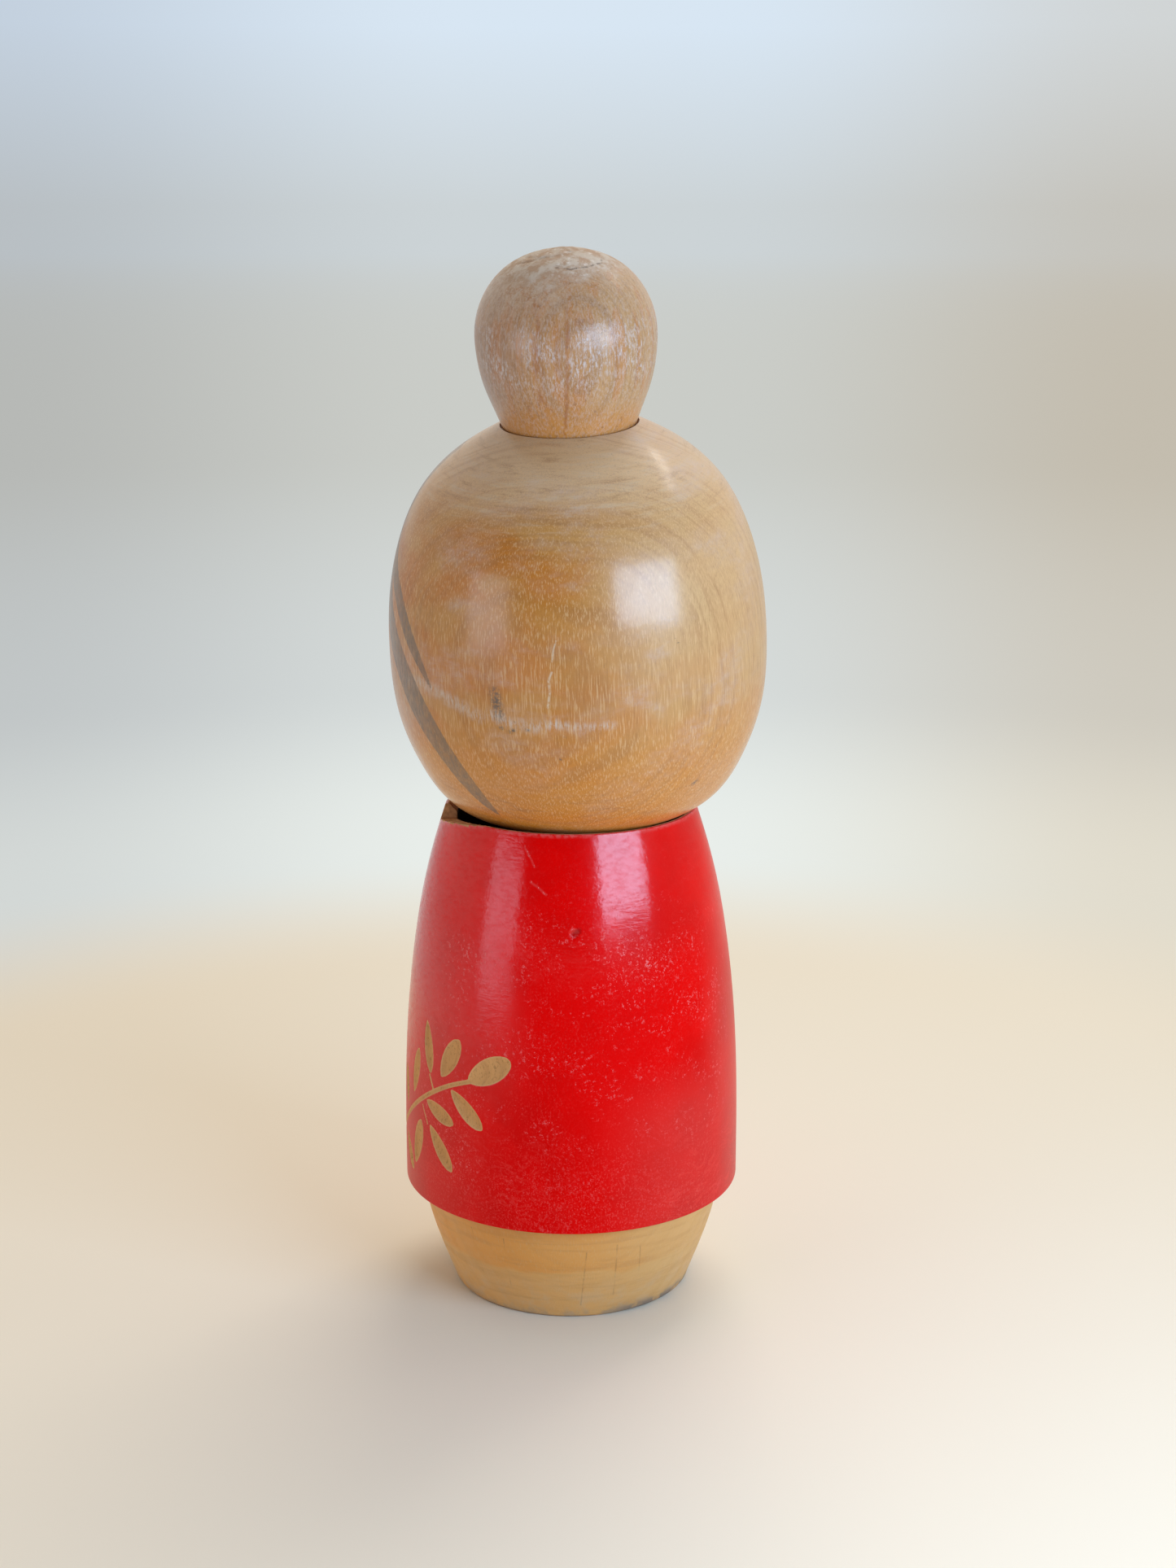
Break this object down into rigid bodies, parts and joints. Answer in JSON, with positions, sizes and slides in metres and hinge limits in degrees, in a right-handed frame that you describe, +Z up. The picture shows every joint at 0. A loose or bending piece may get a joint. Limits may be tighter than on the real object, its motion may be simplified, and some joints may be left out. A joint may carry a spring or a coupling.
{
  "type": "kokeshi doll",
  "caption": "Turned wooden kokeshi doll with a red lacquered body on a plain foot and a turning head with a hair bun.",
  "frame": {"origin": "centre of the foot's flat underside, on the axis of the foot and body", "axes": "+Z up along the axis of the foot and body; the doll faces -Y; +X is the doll's own left"},
  "size_m": [0.0575, 0.0568, 0.1602],
  "materials": {
    "foot_wood": "bare turned wood, satin",
    "red_lacquer": "red lacquer over wood, gloss",
    "head_wood": "waxed turned wood, satin",
    "bun_wood": "stained turned wood, satin",
    "peg_wood": "bare dowel"
  },
  "bodies": {
    "torso": {"foot": "foot_wood", "body": "red_lacquer"},
    "head_assembly": {"head": "head_wood", "bun": "bun_wood", "neck_peg": "peg_wood", "bun_peg": "peg_wood"}
  },
  "joints": [
    {"name": "head_turn", "type": "hinge", "parent": "torso", "child": "head_assembly", "pos_m": [-0.0005, 0.0009, 0.105], "axis": [0.1394, 0.0374, 0.9895], "continuous": true}
  ]
}
